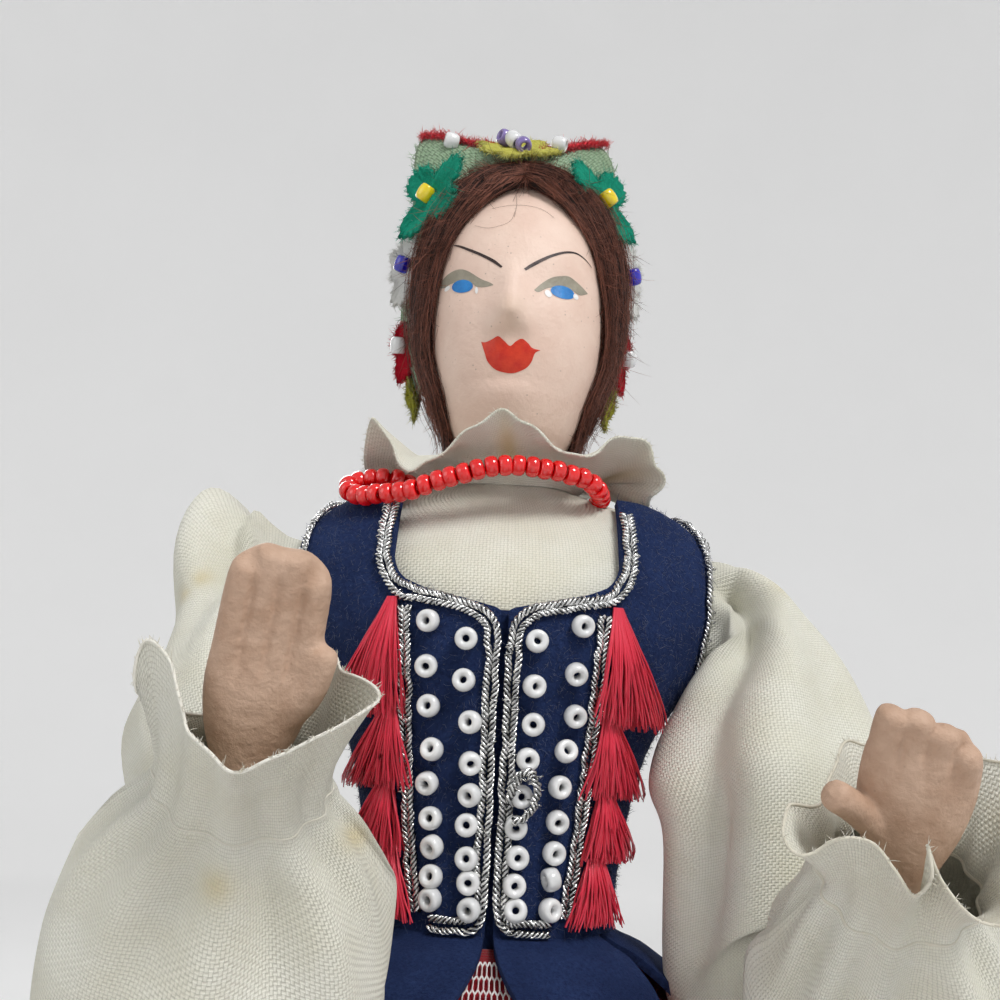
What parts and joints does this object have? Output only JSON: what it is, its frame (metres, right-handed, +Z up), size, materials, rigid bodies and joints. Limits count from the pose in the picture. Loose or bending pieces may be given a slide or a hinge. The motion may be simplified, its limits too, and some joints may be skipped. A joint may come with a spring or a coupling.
{
  "type": "folk costume doll",
  "caption": "Standing folk costume doll with a painted head, mohair wig, flower headband, beaded felt vest, full sleeves, pleated skirt and lace apron.",
  "frame": {"origin": "centre of the object's box, at the level of the boot soles", "axes": "+Z up, -Y the way the doll faces, +X the viewer's right (the doll's left)"},
  "size_m": [0.1196, 0.1157, 0.2877],
  "materials": {
    "painted_composition": "matte paint",
    "hand_composition": "matte paint",
    "mohair": "soft mohair",
    "cream_cotton": "plain weave",
    "stuffed_muslin": "plain weave",
    "navy_felt": "felt",
    "silver_braid": "metallic thread",
    "red_silk": "silk floss",
    "red_cotton": "plain weave",
    "white_lace": "net lace",
    "red_glass": "gloss",
    "green_cloth": "stiff plain weave",
    "red_chenille": "pile",
    "teal_felt": "felt",
    "yellow_felt": "felt",
    "white_felt": "felt",
    "olive_felt": "felt",
    "boot_paint": "satin paint",
    "leg_paint": "matte paint",
    "steel_wire": "drawn",
    "turned_wood": "plain"
  },
  "bodies": {
    "figure": {"torso": "stuffed_muslin", "neck_peg": "turned_wood", "shoulder_wire": "steel_wire", "blouse": "cream_cotton", "collar_ruffle": "cream_cotton", "necklace": "red_glass", "vest_right_front": "navy_felt", "vest_left_front": "navy_felt", "vest_back": "navy_felt", "skirt": "red_cotton", "apron": "white_lace", "right_leg": "leg_paint", "left_leg": "leg_paint", "right_boot": "boot_paint", "left_boot": "boot_paint", "peplum_tab_front_left": "navy_felt", "peplum_tab_side_left": "navy_felt", "peplum_tab_back_left": "navy_felt", "peplum_tab_back_right": "navy_felt", "peplum_tab_side_right": "navy_felt", "peplum_tab_front_right": "navy_felt", "right_edge_braid": "silver_braid", "right_side_braid": "silver_braid", "right_armhole_braid": "silver_braid", "right_tassel_1": "red_silk", "right_tassel_2": "red_silk", "right_tassel_3": "red_silk", "right_tassel_4": "red_silk", "left_edge_braid": "silver_braid", "left_side_braid": "silver_braid", "left_armhole_braid": "silver_braid", "left_tassel_1": "red_silk", "left_tassel_2": "red_silk", "left_tassel_3": "red_silk", "left_tassel_4": "red_silk"},
    "head_group": {"head": "painted_composition", "wig": "mohair", "headband": "green_cloth", "headband_cord": "red_chenille", "yellow_flower": "yellow_felt", "right_teal_flower": "teal_felt", "right_white_flower": "white_felt", "right_red_flower": "red_chenille", "right_olive_flower": "olive_felt", "left_teal_flower": "teal_felt", "left_white_flower": "white_felt", "left_red_flower": "red_chenille", "left_olive_flower": "olive_felt"},
    "right_upper_arm_group": {"right_upper_arm": "steel_wire", "right_upper_sleeve": "cream_cotton"},
    "right_forearm_group": {"right_forearm": "steel_wire", "right_lower_sleeve": "cream_cotton", "right_cuff": "cream_cotton", "right_hand": "hand_composition"},
    "left_upper_arm_group": {"left_upper_arm": "steel_wire", "left_upper_sleeve": "cream_cotton"},
    "left_forearm_group": {"left_forearm": "steel_wire", "left_lower_sleeve": "cream_cotton", "left_cuff": "cream_cotton", "left_hand": "hand_composition"}
  },
  "joints": [
    {"name": "head_turn", "type": "hinge", "parent": "figure", "child": "head_group", "pos_m": [0, 0.0072, 0.221], "axis": [0, 0, 1], "range_deg": [-45, 45]},
    {"name": "right_shoulder", "type": "hinge", "parent": "figure", "child": "right_upper_arm_group", "pos_m": [-0.034, 0.0087, 0.205], "axis": [-1, 0, 0], "range_deg": [-20, 50], "deforming": ["right_upper_sleeve"]},
    {"name": "right_elbow", "type": "hinge", "parent": "right_upper_arm_group", "child": "right_forearm_group", "pos_m": [-0.0295, -0.0168, 0.163], "axis": [-1, 0, 0], "range_deg": [-50, 15], "deforming": ["right_lower_sleeve"]},
    {"name": "left_shoulder", "type": "hinge", "parent": "figure", "child": "left_upper_arm_group", "pos_m": [0.034, 0.0087, 0.205], "axis": [-1, 0, 0], "range_deg": [-20, 50], "deforming": ["left_upper_sleeve"]},
    {"name": "left_elbow", "type": "hinge", "parent": "left_upper_arm_group", "child": "left_forearm_group", "pos_m": [0.037, -0.0138, 0.157], "axis": [-1, 0, 0], "range_deg": [-50, 15], "deforming": ["left_lower_sleeve"]}
  ]
}
